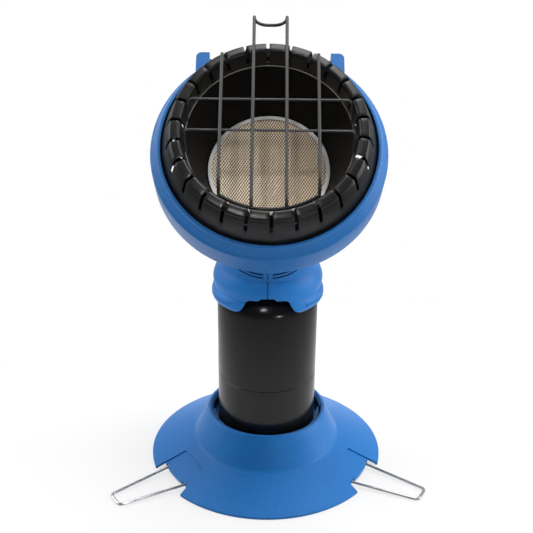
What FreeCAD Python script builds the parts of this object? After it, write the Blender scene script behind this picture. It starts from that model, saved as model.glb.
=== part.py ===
import FreeCAD, Part
import math
import os
import re
import Sketcher

# Portable propane heater: a tilted round radiant head on a one-pound gas
# cylinder, which stands in a wide moulded base with three fold-out wire legs.
# Millimetres, +Z up, origin on the floor on the cylinder's axis. The head is
# drawn in its own frame: X across, Y up the face, Z out along the beam.

Vector = FreeCAD.Vector

SIZES = {
    # moulded base
    "rim_radius": 119.0,
    "rim_edge": 2.5,
    "crease_radius": 74.4,
    "crease_height": 22.5,
    "top_radius": 60.0,
    "top_height": 53.5,
    "opening_radius": 56.4,
    "skirt_wall": 2.4,
    "lip_depth": 5.0,
    "base_turn": 2.6,
    "notch_floor_radius": 108.7,
    "notch_outer_half": 28.3,
    "notch_inner_half": 24.0,
    "panel_end": 86.0,
    "panel_end_half": 18.0,
    "panel_depth": 1.3,
    "rib_count": 6,
    "rib_thick": 2.0,
    "rib_bottom": 9.5,
    "rib_end": 84.0,
    # socket that holds the cylinder
    "socket_floor": 8.5,
    "socket_wall": 2.0,
    "socket_fit": 0.4,
    "hub_foot": 16.0,
    "socket_flange": 38.0,
    "finger_count": 5,
    "finger_gap": 35.0,
    "finger_top": 49.5,
    "finger_flare": 2.6,
    # tabs under the lip of the opening
    "tab_count": 3,
    "tab_sweep": 82.0,
    "tab_middle": 284.0,
    "tab_reach": 1.3,
    # wire legs and their clips
    "leg_wire": 1.5,
    "leg_pivot_radius": 98.0,
    "leg_pivot_height": 4.0,
    "leg_root_half": 18.3,
    "leg_tip_half": 9.6,
    "leg_tip_radius": 173.1,
    "leg_bend": 4.6,
    "leg_root_bend": 3.5,
    "leg_slot_half": 2.6,
    "leg_end": 6.0,
    "clip_length": 6.0,
    "clip_wall": 1.9,
    "pin_fit": 0.08,
    "seat_fit": 0.15,
    # gas cylinder
    "cylinder_radius": 49.2,
    "cylinder_wall": 1.5,
    "shoulder_height": 178.0,
    "neck_height": 199.0,
    "neck_radius": 15.0,
    "thread_radius": 12.7,
    "valve_top": 211.0,
    "valve_bore": 4.0,
    # collar
    "collar_bottom": 182.0,
    "collar_bulge": 54.6,
    "collar_pinch": 52.0,
    "collar_upper": 53.2,
    "collar_neck": 47.5,
    "collar_wall": 2.4,
    "collar_gap": 0.1,
    "scallop_height": 198.0,
    "scallop_half": 33.2,
    "groove_tilt": 30.0,
    "groove_depth": 0.8,
    "groove_upper": 221.2,
    "groove_lower": 218.2,
    "groove_near": 4.4,
    "groove_far": 31.0,
    "lip_height": 187.4,
    "lip_end": 37.5,
    "post_radius": 4.2,
    "post_half": 8.0,
    "pin_radius": 1.8,
    # regulator, jet and mixer tube
    "thread_fit": 0.05,
    "nut_radius": 17.5,
    "nut_top": 217.0,
    "regulator_radius": 14.0,
    "regulator_top": 242.0,
    "mixer_depth": 110.0,
    "mixer_radius": 8.0,
    "mixer_wall": 1.0,
    "mixer_bend": 10.5,
    "jet_radius": 4.0,
    "jet_seat": 49.0,
    "outlet_length": 19.0,
    # control knob at the back
    "knob_height": 229.0,
    "knob_face": 50.6,
    "knob_radius": 15.0,
    "knob_length": 17.0,
    "stem_radius": 3.0,
    "stem_fit": 0.08,
    "stem_boss_end": 24.0,
    "stem_inner": 11.0,
    # head frame
    "head_tilt": 45.0,
    "head_forward": -35.0,
    "head_height": 357.0,
    # slotted rolled rim
    "rim_inner": 79.0,
    "rim_crest": 83.4,
    "rim_kink": 88.0,
    "rim_skirt": 97.0,
    "rim_skirt_depth": 32.0,
    "rim_wall_end": 21.5,
    "rim_wall_radius": 76.3,
    "sheet": 1.0,
    "slot_count": 26,
    "slot_width": 2.9,
    "slot_turn": 1.5,
    "slot_inner_depth": 13.0,
    "slot_outer_depth": 18.5,
    # reflector dish
    "dish_mouth": 75.2,
    "dish_mouth_depth": 18.5,
    "dish_floor_radius": 59.0,
    "dish_floor_depth": 79.8,
    # burner
    "ring_outer": 58.3,
    "ring_inner": 54.4,
    "ring_thick": 1.2,
    "screen_thick": 0.8,
    "tile_radius": 54.0,
    "tile_thick": 11.0,
    "gasket_thick": 1.5,
    "pan_wall": 1.2,
    "pan_depth": 99.0,
    # outer shell
    "shell_radius": 109.0,
    "shell_front": 39.5,
    "shell_rear": 69.4,
    "shell_wall": 2.6,
    "bezel_inner": 98.7,
    "bezel_face": 28.0,
    "ledge_depth": 37.5,
    "ledge_width": 5.0,
    "bowl_mid_radius": 79.0,
    "bowl_mid_depth": 99.0,
    "bowl_hub_radius": 44.0,
    "bowl_hub_depth": 117.5,
    "bowl_depth": 124.5,
    "vent_count": 24,
    "vent_inner": 86.0,
    "vent_outer": 98.0,
    "vent_width": 13.0,
    "neck_hole": 36.0,
    # lugs and carrying bail
    "lug_inner": 59.0,
    "lug_outer": 72.0,
    "lug_top": 115.2,
    "lug_front": 56.0,
    "lug_thick": 12.0,
    "bail_height": 110.5,
    "bail_wire": 1.6,
    "bail_reach": 62.0,
    "bail_half": 52.0,
    "bail_bend": 9.0,
    "bail_drop_angle": 218.8,
    # wire guard
    "guard_wire": 1.5,
    "guard_cross_wire": 1.15,
    "guard_stand_off": 0.2,
    "guard_inner_x": 15.0,
    "guard_outer_x": 43.5,
    "guard_outer_top": 75.0,
    "guard_inner_bend": 71.2,
    "guard_outer_bend": 51.0,
    "guard_end_depth": 17.0,
    "guard_bar_upper": 29.1,
    "guard_bar_lower": 2.0,
    "guard_bar_drop": 8.5,
    "guard_bar_upper_half": 72.6,
    "guard_bar_lower_half": 75.4,
    "hook_height": 115.7,
    "hook_reach": 16.0,
    "guard_bend": 4.5,
    "hook_bend": 3.5,
    "hook_tip_bend": 12.2,
    # fasteners, and the reach of blocks that only cut
    "screw_shank": 1.5,
    "screw_head": 3.0,
    "block_reach": 65.0,
}

doc = FreeCAD.newDocument("propane_heater")
sheet = doc.addObject("Spreadsheet::Sheet", "sizes")
for row, (alias, number) in enumerate(SIZES.items(), start=1):
    sheet.set(f"A{row}", alias)
    sheet.set(f"B{row}", str(number))
    sheet.setAlias(f"B{row}", alias)
doc.recompute()


# Values and bindings
def value(expression):
    """The number an expression of sheet aliases stands for."""
    return float(sheet.evalExpression(str(expression)))


def bound(expression):
    """The same expression as other objects of the document have to write it."""
    def prefixed(match):
        word = match.group(0)
        return f"sizes.{word}" if word in SIZES else word
    return re.sub(r"[a-z_]+", prefixed, str(expression))


def bind(item, **properties):
    for name, expression in properties.items():
        item.setExpression(name, bound(expression))


def place(item, at=("0", "0", "0"), axis=(0, 0, 1), angle="0"):
    """Bind an object's placement: its base point and one turn about an axis."""
    turn = FreeCAD.Rotation(Vector(*axis), value(angle))
    item.Placement = FreeCAD.Placement(Vector(*map(value, at)), turn)
    for letter, expression in zip("xyz", at):
        item.setExpression(f"Placement.Base.{letter}", bound(expression))
    if axis in ((0, 0, 1), (1, 0, 0), (0, 1, 0)) and value(angle) != 0:
        item.setExpression("Placement.Rotation.Angle", bound(angle))


def in_head(item):
    """Put an object drawn in the head's frame where the head is."""
    place(item, ("0", "head_forward", "head_height"), (1, 0, 0), "head_tilt")


def head_point(across, up, out):
    """A point of the head's frame in the part's frame, as three expressions."""
    return (
        f"{across}",
        f"head_forward + ({up})*cos(head_tilt) - ({out})*sin(head_tilt)",
        f"head_height + ({up})*sin(head_tilt) + ({out})*cos(head_tilt)",
    )


# Sketches and bodies
def origin_plane(body, role):
    return next(item for item in body.Origin.OriginFeatures if item.Role == role)


def fix_point(sketch, geometry, position, across, up):
    """Tie one point of a sketch to the sheet, from the sketch's origin."""
    for kind, expression in (("DistanceX", across), ("DistanceY", up)):
        rule = Sketcher.Constraint(kind, -1, 1, geometry, position, value(expression))
        index = sketch.addConstraint(rule)
        sketch.setExpression(f"Constraints[{index}]", bound(expression))


def outline(body, name, role, corners, offset="0"):
    """A closed outline bound to the sheet. A corner (x, y) ends a line, and a
    corner (x, y, middle x, middle y) ends an arc through that middle point."""
    sketch = body.newObject("Sketcher::SketchObject", name)
    sketch.AttachmentSupport = [(origin_plane(body, role), "")]
    sketch.MapMode = "FlatFace"
    if offset != "0":
        sketch.AttachmentOffset = FreeCAD.Placement(Vector(0, 0, value(offset)), FreeCAD.Rotation())
        sketch.setExpression("AttachmentOffset.Base.z", bound(offset))
    spots = [Vector(value(corner[0]), value(corner[1]), 0) for corner in corners]
    ends = []
    for number, corner in enumerate(corners):
        start, stop = spots[number - 1], spots[number]
        if len(corner) == 2:
            sketch.addGeometry(Part.LineSegment(start, stop))
            ends.append((1, 2))
            continue
        middle = Vector(value(corner[2]), value(corner[3]), 0)
        left_turn = (middle - start).cross(stop - middle).z > 0
        first, last = (start, stop) if left_turn else (stop, start)
        sketch.addGeometry(Part.Arc(first, middle, last))
        ends.append((1, 2) if left_turn else (2, 1))
    count = len(corners)
    for number, corner in enumerate(corners):
        following = (number + 1) % count
        joint = Sketcher.Constraint("Coincident", number, ends[number][1], following, ends[following][0])
        sketch.addConstraint(joint)
        fix_point(sketch, number, ends[number][1], corner[0], corner[1])
    for number, corner in enumerate(corners):
        if len(corner) == 4:
            dot = sketch.addGeometry(Part.Point(Vector(value(corner[2]), value(corner[3]), 0)), True)
            sketch.addConstraint(Sketcher.Constraint("PointOnObject", dot, 1, number))
            fix_point(sketch, dot, 1, corner[2], corner[3])
    return sketch


def mirrored(corners):
    """The same outline across the sketch's Y axis, drawn the other way round."""
    other = []
    for number in range(len(corners) - 1, -1, -1):
        across, up = corners[number][:2]
        following = corners[(number + 1) % len(corners)]
        middle = (f"-({following[2]})", following[3]) if len(following) == 4 else ()
        other.append((f"-({across})", up) + middle)
    return other


def new_body(label, frame=None):
    body = doc.addObject("PartDesign::Body", label)
    body.Label = label
    if frame:
        frame(body)
    return body


def feature(body, kind, name, sketch=None):
    item = body.newObject(f"PartDesign::{kind}", name)
    if sketch:
        item.Profile = sketch
    return item


def revolve(body, corners, name="form", sweep="360"):
    sketch = outline(body, f"{body.Label}_{name}_outline", "XZ_Plane", corners)
    turn = feature(body, "Revolution", f"{body.Label}_{name}", sketch)
    turn.ReferenceAxis = (sketch, ["V_Axis"])
    bind(turn, Angle=sweep)
    return turn


def revolved(label, corners, frame=None):
    body = new_body(label, frame)
    revolve(body, corners)
    return body


def pad(body, name, role, corners, length, offset="0"):
    sketch = outline(body, f"{body.Label}_{name}_outline", role, corners, offset)
    item = feature(body, "Pad", f"{body.Label}_{name}", sketch)
    bind(item, Length=length)
    return item


def pocket_both_ways(body, name, role, corners, length):
    """A pocket whose sketch plane is the middle of the cut."""
    sketch = outline(body, f"{body.Label}_{name}_outline", role, corners)
    item = feature(body, "Pocket", f"{body.Label}_{name}", sketch)
    item.SideType = "Symmetric"
    bind(item, Length=length)
    return item


def around(body, source, count):
    """Repeat a feature round the body's own Z axis."""
    pattern = feature(body, "PolarPattern", f"{source.Name}_pattern")
    pattern.Originals = [source]
    pattern.Axis = (source.Profile[0], ["V_Axis"])
    pattern.Angle = 360
    pattern.Occurrences = int(value(count))
    bind(pattern, Occurrences=count)
    body.Tip = pattern
    return pattern


def round_circles(body, radius, circles):
    """Fillet the circular edges that lie at the given radius and height."""
    doc.recompute()
    wanted = [(value(ring), value(height)) for ring, height in circles]
    base = body.Tip
    names = []
    for number, edge in enumerate(base.Shape.Edges, start=1):
        curve = edge.Curve
        if curve.TypeId != "Part::GeomCircle":
            continue
        for ring, height in wanted:
            if abs(curve.Radius - ring) < 0.01 and abs(curve.Center.z - height) < 0.01:
                names.append(f"Edge{number}")
    item = feature(body, "Fillet", f"{base.Name}_rounded")
    item.Base = (base, names)
    bind(item, Radius=radius)
    return item


# Primitives and booleans
def primitive(kind, name, sizes, at=("0", "0", "0"), axis=(0, 0, 1), angle="0"):
    item = doc.addObject(f"Part::{kind}", name)
    bind(item, **sizes)
    place(item, at, axis, angle)
    return item


def fused(label, pieces):
    item = doc.addObject("Part::MultiFuse", label)
    item.Shapes = pieces
    item.Label = label
    return item


def cut(label, base, tool):
    item = doc.addObject("Part::Cut", label)
    item.Base = base
    item.Tool = tool
    item.Label = label
    return item


def common(label, base, tool):
    item = doc.addObject("Part::Common", label)
    item.Base = base
    item.Tool = tool
    item.Label = label
    return item


# Bent wire
def bent_path(points, bends):
    """Straight runs through the points, with an arc at each corner between them."""
    edges = []
    start = points[0]
    for before, corner, after, bend in zip(points, points[1:], points[2:], bends):
        into = (corner - before).normalize()
        out_of = (after - corner).normalize()
        turn = into.getAngle(out_of)
        run = bend * math.tan(turn / 2)
        first = corner - into * run
        last = corner + out_of * run
        inward = (out_of - into).normalize()
        middle = corner + inward * (bend / math.cos(turn / 2) - bend)
        edges.append(Part.LineSegment(start, first).toShape())
        edges.append(Part.Arc(first, middle, last).toShape())
        start = last
    edges.append(Part.LineSegment(start, points[-1]).toShape())
    return Part.Wire(edges)


def wire_solid(points, bends, radius):
    path = bent_path(points, bends)
    heading = (points[1] - points[0]).normalize()
    section = Part.Wire([Part.Circle(points[0], heading, radius).toShape()])
    return path.makePipeShell([section], True, True)


def spots(rows):
    """Points from rows of three expressions."""
    return [Vector(*(value(expression) for expression in row)) for row in rows]


def shape_node(label, shape, frame=None):
    """A sub-part whose form is bent wire, which no sketch plane holds."""
    item = doc.addObject("Part::Feature", label)
    item.Shape = shape
    item.Label = label
    if frame:
        frame(item)
    return item


nodes = []


def keep(item):
    """Mark an object as a sub-part that is written out."""
    nodes.append(item)
    return item


def turned(azimuth):
    """A frame turned about the cylinder's axis."""
    def frame(item):
        place(item, ("0", "0", "0"), (0, 0, 1), azimuth)
    return frame


LEGS = {"rear": "90 + base_turn", "left": "210 + base_turn", "right": "330 + base_turn"}


# Moulded base: a shallow skirt that creases into a steep cone with a rounded
# lip, and three notches with a sunken panel behind each for the wire legs.
def base_skirt():
    slope = "(crease_height - rim_edge)/(rim_radius - crease_radius)"
    body = new_body("base_form")
    revolve(body, [
        ("rim_radius", "0"),
        ("rim_radius", "rim_edge"),
        ("crease_radius", "crease_height"),
        ("top_radius", "top_height"),
        ("opening_radius", "top_height"),
        ("opening_radius", "top_height - lip_depth"),
        ("crease_radius - skirt_wall*1.2", "crease_height - skirt_wall"),
        ("rim_radius - skirt_wall", f"rim_edge + skirt_wall*{slope} - skirt_wall*1.1"),
        ("rim_radius - skirt_wall", "0"),
    ])
    round_circles(body, "1.5", [("top_radius", "top_height"), ("opening_radius", "top_height")])
    round_circles(body, "6", [("crease_radius", "crease_height")])
    tools = []
    for name, azimuth in LEGS.items():
        tools.append(notch_cutter(name, azimuth))
        tools.append(panel_cutter(name, azimuth))
    floors = [panel_floor(name, azimuth) for name, azimuth in LEGS.items()]
    slots = [leg_slot(name, azimuth) for name, azimuth in LEGS.items()]
    opened = cut("base_opened", body, fused("base_cutters", tools))
    floored = fused("base_floored", [opened, lip_tabs(), base_ribs()] + floors)
    return cut("base_skirt", floored, fused("leg_slots", slots))


def cone_inside(height):
    """The radius of the steep cone's inner face at a height."""
    foot = "(crease_radius - skirt_wall*1.2)"
    rise = f"({height} - crease_height + skirt_wall)/(top_height - lip_depth - crease_height + skirt_wall)"
    return f"({foot} - ({foot} - opening_radius)*{rise})"


def base_ribs():
    """Upright ribs inside the skirt, round the socket."""
    body = new_body("base_ribs", turned("base_turn"))
    inner = "cylinder_radius + socket_fit + socket_wall + 0.8"
    top = "socket_flange - socket_wall - 0.6"
    slope = "(crease_height - rim_edge)/(rim_radius - crease_radius)"
    rib = pad(body, "rib", "XZ_Plane", [
        (inner, "rib_bottom"),
        ("rib_end", "rib_bottom"),
        ("rib_end", f"rim_edge + (rim_radius - rib_end)*{slope} - skirt_wall"),
        ("crease_radius - skirt_wall", "crease_height - skirt_wall/2"),
        (f"{cone_inside(top)} + 0.5", top),
        (inner, top),
    ], "rib_thick")
    rib.SideType = "Symmetric"
    around(body, rib, "rib_count")
    return body


def lip_tabs():
    """Tabs inside the lip of the opening, which narrow it over part of its round."""
    body = new_body("lip_tabs", turned("tab_middle - tab_sweep/2"))
    tab = revolve(body, [
        ("opening_radius - tab_reach", "top_height - lip_depth"),
        ("opening_radius + 0.8", "top_height - lip_depth"),
        ("opening_radius + 0.8", "top_height - 1.7"),
        ("opening_radius - tab_reach + 0.6", "top_height - 1.7"),
        ("opening_radius - tab_reach", "top_height - 2.3"),
    ], sweep="tab_sweep")
    around(body, tab, "tab_count")
    return body


def trapezoid(near, near_half, far, far_half):
    """A trapezoid lying along +X, as outline corners."""
    return [(near, f"-({near_half})"), (far, f"-({far_half})"), (far, far_half), (near, near_half)]


def notch_cutter(name, azimuth):
    """What is cut from the rim, between two slanted sides."""
    body = new_body(f"notch_{name}", turned(azimuth))
    arc_end = "sqrt(notch_floor_radius^2 - notch_inner_half^2)"
    corners = trapezoid(arc_end, "notch_inner_half", "rim_radius + 10", "notch_outer_half + 2")
    pad(body, "block", "XY_Plane", corners, "crease_height")
    return body


def panel_cutter(name, azimuth):
    """The recess over the panel, open through the skirt."""
    body = new_body(f"recess_{name}", turned(azimuth))
    corners = trapezoid("panel_end", "panel_end_half", "notch_floor_radius", "notch_inner_half")
    pad(body, "block", "XY_Plane", corners, "crease_height")
    return body


def panel_floor(name, azimuth):
    """The sunken panel: a slice of the skirt, lowered by the panel's depth."""
    slope = "(crease_height - rim_edge)/(rim_radius - crease_radius)"
    slab = new_body(f"panel_slab_{name}", turned(azimuth))
    inner = "panel_end - 1.5"
    top_inner = f"rim_edge + (rim_radius - ({inner}))*{slope} - panel_depth"
    top_outer = f"rim_edge + (rim_radius - notch_floor_radius)*{slope} - panel_depth"
    revolve(slab, [
        (inner, top_inner),
        (inner, f"{top_inner} - skirt_wall*1.1"),
        ("notch_floor_radius", f"{top_outer} - skirt_wall*1.1"),
        ("notch_floor_radius", top_outer),
    ])
    wedge = new_body(f"panel_wedge_{name}", turned(azimuth))
    corners = trapezoid("panel_end - 3", "panel_end_half + 1.5", "notch_floor_radius + 3", "notch_inner_half + 1.5")
    pad(wedge, "block", "XY_Plane", corners, "crease_height")
    return common(f"panel_{name}", slab, wedge)


def leg_slot(name, azimuth):
    """Two open slots in the panel's edge, where the leg's wires come out."""
    body = new_body(f"slot_{name}", turned(azimuth))
    half = "leg_slot_half"
    for side, sign in (("near", "-"), ("far", "")):
        middle = f"{sign}(leg_root_half - 0.7)"
        pad(body, side, "XY_Plane", [
            ("leg_pivot_radius - 3", f"{middle} - ({half})"),
            ("notch_floor_radius + 2", f"{middle} - ({half})"),
            ("notch_floor_radius + 2", f"{middle} + {half}"),
            ("leg_pivot_radius - 3", f"{middle} + {half}"),
        ], "leg_pivot_height + leg_wire + 0.8")
    return body


# Socket: the cup inside the base that the cylinder stands in, with springy
# fingers above its flange and a ring foot under its middle.
def cylinder_socket():
    inner = "cylinder_radius + socket_fit"
    body = new_body("socket_form", turned("base_turn"))
    revolve(body, [
        ("0", "socket_floor - socket_wall"),
        ("hub_foot - socket_wall", "socket_floor - socket_wall"),
        ("hub_foot - socket_wall", "0"),
        ("hub_foot", "0"),
        ("hub_foot", "socket_floor - socket_wall"),
        (f"{inner} + socket_wall", "socket_floor - socket_wall"),
        (f"{inner} + socket_wall", "socket_flange - socket_wall"),
        (f"{cone_inside('socket_flange - socket_wall')} - seat_fit", "socket_flange - socket_wall"),
        (f"{cone_inside('socket_flange')} - seat_fit", "socket_flange"),
        (f"{inner} + socket_wall", "socket_flange"),
        (f"{inner} + socket_wall + finger_flare", "finger_top"),
        (f"{inner} + finger_flare + 0.6", "finger_top"),
        (inner, "socket_flange + 3"),
        (inner, "socket_floor"),
        ("0", "socket_floor"),
    ])
    gap = pocket_both_ways(body, "finger_gap", "YZ_Plane", [
        ("cylinder_radius - 5", "socket_flange + 1"),
        ("opening_radius + 1", "socket_flange + 1"),
        ("opening_radius + 1", "top_height"),
        ("cylinder_radius - 5", "top_height"),
    ], "finger_gap")
    around(body, gap, "finger_count")
    body.Label = "cylinder_socket"
    return body


# Leg clips: a pair of short bearing blocks under each panel, one node for all.
def leg_clips():
    blocks = []
    for name, azimuth in LEGS.items():
        sizes = {"Radius": "leg_wire + pin_fit", "Height": "2*leg_root_half"}
        bore = primitive("Cylinder", f"bore_{name}", sizes)
        place_bore(bore, azimuth)
        pair = fused(f"clip_pair_{name}", [clip(name, azimuth, "near", "-(leg_end + 1.2 + clip_length)"),
                                           clip(name, azimuth, "far", "leg_end + 1.2")])
        blocks.append(cut(f"clips_{name}", pair, bore))
    return fused("leg_clips", blocks)


def clip(name, azimuth, side, start):
    """One bearing block, its top following the underside of the panel."""
    slope = "(crease_height - rim_edge)/(rim_radius - crease_radius)"
    reach = "(leg_wire + clip_wall)"
    sag = f"(leg_end + 1.2 + clip_length)^2/(2*leg_pivot_radius)*{slope}"
    under = f"rim_edge - panel_depth - skirt_wall*1.1 - {sag}"
    body = new_body(f"clip_{name}_{side}")
    sketch = outline(body, f"{body.Label}_outline", "XZ_Plane", [
        (f"leg_pivot_radius - {reach}", "leg_pivot_height - leg_wire - 1.2"),
        (f"leg_pivot_radius + {reach}", "leg_pivot_height - leg_wire - 1.2"),
        (f"leg_pivot_radius + {reach}", f"{under} + (rim_radius - leg_pivot_radius - {reach})*{slope}"),
        (f"leg_pivot_radius - {reach}", f"{under} + (rim_radius - leg_pivot_radius + {reach})*{slope}"),
    ])
    item = feature(body, "Pad", f"{body.Label}_block", sketch)
    bind(item, Length="clip_length")
    item.Reversed = True
    place(body, (f"-({start})*sin({azimuth})", f"({start})*cos({azimuth})", "0"), (0, 0, 1), azimuth)
    return body


def place_bore(item, azimuth):
    """Lay a cylinder along a leg's pivot line."""
    turn = FreeCAD.Rotation(Vector(0, 0, 1), value(azimuth)) * FreeCAD.Rotation(Vector(1, 0, 0), -90)
    item.Placement = FreeCAD.Placement(Vector(), turn)
    spot = (
        f"leg_pivot_radius*cos({azimuth}) + leg_root_half*sin({azimuth})",
        f"leg_pivot_radius*sin({azimuth}) - leg_root_half*cos({azimuth})",
        "leg_pivot_height",
    )
    for letter, expression in zip("xyz", spot):
        item.setExpression(f"Placement.Base.{letter}", bound(expression))


# Wire legs: a tapered loop with its two ends turned in through the clips.
def leg(name, azimuth):
    half = [
        ("leg_pivot_radius", "leg_end", "leg_pivot_height"),
        ("leg_pivot_radius", "leg_root_half", "leg_pivot_height"),
        ("leg_tip_radius", "leg_tip_half", "leg_wire"),
    ]
    other = [(out, f"-({across})", up) for out, across, up in reversed(half)]
    root, tip = value("leg_root_bend"), value("leg_bend")
    shape = wire_solid(spots(half + other), [root, tip, tip, root], value("leg_wire"))
    return shape_node(f"leg_{name}", shape, turned(azimuth))


# Gas cylinder: a drawn steel bottle with a domed shoulder and a domed foot.
def cylinder_shell():
    inside = "cylinder_radius - cylinder_wall"
    body = revolved("cylinder_shell", [
        ("cylinder_radius - 8", "socket_floor + 9"),
        ("cylinder_radius", "socket_floor + 17", "cylinder_radius - 2.3", "socket_floor + 11.3"),
        ("cylinder_radius", "shoulder_height"),
        ("neck_radius + 6", "neck_height - 2.4", "cylinder_radius - 9.5", "shoulder_height + 12.6"),
        ("neck_radius", "neck_height"),
        ("valve_bore + 4", "neck_height"),
        ("valve_bore + 4", "neck_height - 2"),
        ("neck_radius + 5", "neck_height - 4.4"),
        (inside, "shoulder_height", "cylinder_radius - 10.6", "shoulder_height + 11"),
        (inside, "socket_floor + 17"),
        ("cylinder_radius - 9", "socket_floor + 10.5", "cylinder_radius - 3.6", "socket_floor + 12.5"),
        ("0", "socket_floor + 10.5"),
        ("0", "socket_floor + 9"),
    ])
    return body


def cylinder_foot():
    """The ring that the bottle stands on."""
    inner = "cylinder_radius - 9.5"
    return revolved("cylinder_foot", [
        (inner, "socket_floor"),
        ("cylinder_radius - 2.2", "socket_floor"),
        ("cylinder_radius - 0.8", "socket_floor + 1.6"),
        ("cylinder_radius - 0.8", "socket_floor + 11.1"),
        ("cylinder_radius - 2.45", "socket_floor + 11"),
        ("cylinder_radius - 8", "socket_floor + 8.8", "cylinder_radius - 4.9", "socket_floor + 9.05"),
        (inner, "socket_floor + 8.8"),
    ])


def cylinder_valve():
    """The threaded brass boss, with a bore for the valve core."""
    return revolved("cylinder_valve", [
        ("valve_bore", "neck_height - 14"),
        ("valve_bore + 4", "neck_height - 14"),
        ("valve_bore + 4", "neck_height"),
        ("thread_radius", "neck_height"),
        ("thread_radius", "valve_top - 1"),
        ("thread_radius - 1", "valve_top"),
        ("valve_bore + 1.5", "valve_top"),
        ("valve_bore", "valve_top - 1.5"),
    ])


def valve_core():
    return revolved("valve_core", [
        ("0", "neck_height - 12"),
        ("valve_bore", "neck_height - 12"),
        ("valve_bore", "valve_top - 6"),
        ("1.2", "valve_top - 6"),
        ("1.2", "valve_top - 3"),
        ("0", "valve_top - 3"),
    ])


def relief_valve():
    """The small safety valve that stands on the shoulder."""
    stub = primitive("Cylinder", "relief_stub", {"Radius": "4", "Height": "7"},
                     ("0", "30.75", "shoulder_height + 16.41"), (1, 0, 0), "-18")
    return cut("relief_valve", stub, doc.getObject("cylinder_shell"))


# Outer shell of the head
def shell_bezel():
    """Front ring with the straight side wall and a ledge for the slotted rim."""
    inside = "shell_radius - shell_wall"
    body = new_body("bezel_form", in_head)
    revolve(body, [
        ("shell_radius", "-shell_rear"),
        ("shell_radius", "-(shell_front + 2)"),
        ("shell_radius - 2", "-(shell_front - 1)", "shell_radius - 0.5", "-(shell_front + 0.3)"),
        ("bezel_inner + 4.6", "-(bezel_face + 4.4)"),
        ("bezel_inner + 3.4", "-(bezel_face + 1.4)", "bezel_inner + 3.6", "-(bezel_face + 2.8)"),
        ("bezel_inner + 1.4", "-bezel_face", "bezel_inner + 2.8", "-(bezel_face + 0.3)"),
        ("bezel_inner", "-(bezel_face + 1.2)", "bezel_inner + 0.3", "-(bezel_face + 0.3)"),
        ("bezel_inner", "-ledge_depth"),
        ("bezel_inner + ledge_width", "-ledge_depth"),
        (inside, "-(ledge_depth + ledge_width)"),
        (inside, "-shell_rear"),
    ])
    lugs = [lug("left", "-"), lug("right", "")]
    return fused("head_bezel", [body] + lugs)


def lug(name, sign):
    """One ear of the carrying bail, rounded at its outer corner and bored."""
    body = new_body(f"lug_{name}", in_head)
    foot = "shell_radius - shell_wall/2"
    corners = [
        ("lug_inner", f"sqrt(({foot})^2 - lug_inner^2)"),
        ("lug_outer", f"sqrt(({foot})^2 - lug_outer^2)"),
        ("lug_outer", "lug_top - 6"),
        ("lug_outer - 5", "lug_top", "lug_outer - 1.3", "lug_top - 2"),
        ("lug_inner", "lug_top"),
    ]
    if sign:
        corners = mirrored(corners)
    pad(body, "ear", "XY_Plane", corners, "lug_thick", "-(lug_front + lug_thick)")
    bore = primitive("Cylinder", f"lug_bore_{name}",
                     {"Radius": "bail_wire + pin_fit", "Height": "lug_outer - lug_inner + 2"})
    start = f"{sign}(lug_outer + 1)" if sign else "lug_inner - 1"
    lay_across(bore, start, "bail_height", "-(lug_front + lug_thick/2)")
    return cut(f"lug_ear_{name}", body, bore)


def lay_across(item, across, up, out):
    """Lay a cylinder along X at a point of the head's frame."""
    item.Placement = FreeCAD.Placement(Vector(), FreeCAD.Rotation(Vector(0, 1, 0), 90))
    for letter, expression in zip("xyz", head_point(across, up, out)):
        item.setExpression(f"Placement.Base.{letter}", bound(expression))


def bowl_corners(grow):
    """The bowl's outer line, grown by a clearance, closed along the axis."""
    return [
        ("0", f"-(bowl_depth + {grow})"),
        (f"bowl_hub_radius + ({grow})/3", f"-(bowl_hub_depth + {grow})",
         f"bowl_hub_radius/2 + ({grow})/6", f"-(bowl_hub_depth*0.24 + bowl_depth*0.76 + {grow})"),
        (f"shell_radius - 4.5 + {grow}", f"-(shell_rear + 2.1 + ({grow})/2)",
         f"bowl_mid_radius + ({grow})*0.7", f"-(bowl_mid_depth + ({grow})*0.7)"),
    ]


def rear_shell():
    """The vented bowl that closes the head, spigoted into the side wall."""
    inside = "shell_radius - shell_wall"
    body = new_body("bowl_form", in_head)
    revolve(body, bowl_corners("0") + [
        (inside, "-shell_rear"),
        (inside, "-(shell_rear - 8)"),
        (f"{inside} - shell_wall", "-(shell_rear - 8)"),
        (f"{inside} - shell_wall", "-(shell_rear - 0.4)"),
        ("shell_radius - 4.5 - shell_wall", "-(shell_rear + 0.6)"),
        ("bowl_hub_radius - shell_wall/3", "-(bowl_hub_depth - shell_wall)",
         "bowl_mid_radius - shell_wall*0.7", "-(bowl_mid_depth - shell_wall*0.7)"),
        ("0", "-(bowl_depth - shell_wall)",
         "bowl_hub_radius/2 - shell_wall/6", "-(bowl_hub_depth*0.24 + bowl_depth*0.76 - shell_wall)"),
    ])
    window = pocket_both_ways(body, "vent", "YZ_Plane", [
        ("vent_inner", "-bowl_depth"),
        ("vent_outer", "-bowl_depth"),
        ("vent_outer", "-(shell_rear + 1)"),
        ("vent_inner", "-(shell_rear + 1)"),
    ], "vent_width")
    around(body, window, "vent_count")
    sizes = {"Radius": "neck_hole", "Height": "block_reach"}
    hole = primitive("Cylinder", "neck_opening", sizes, ("0", "0", "regulator_top - 25"))
    return cut("rear_shell", body, hole)


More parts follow.
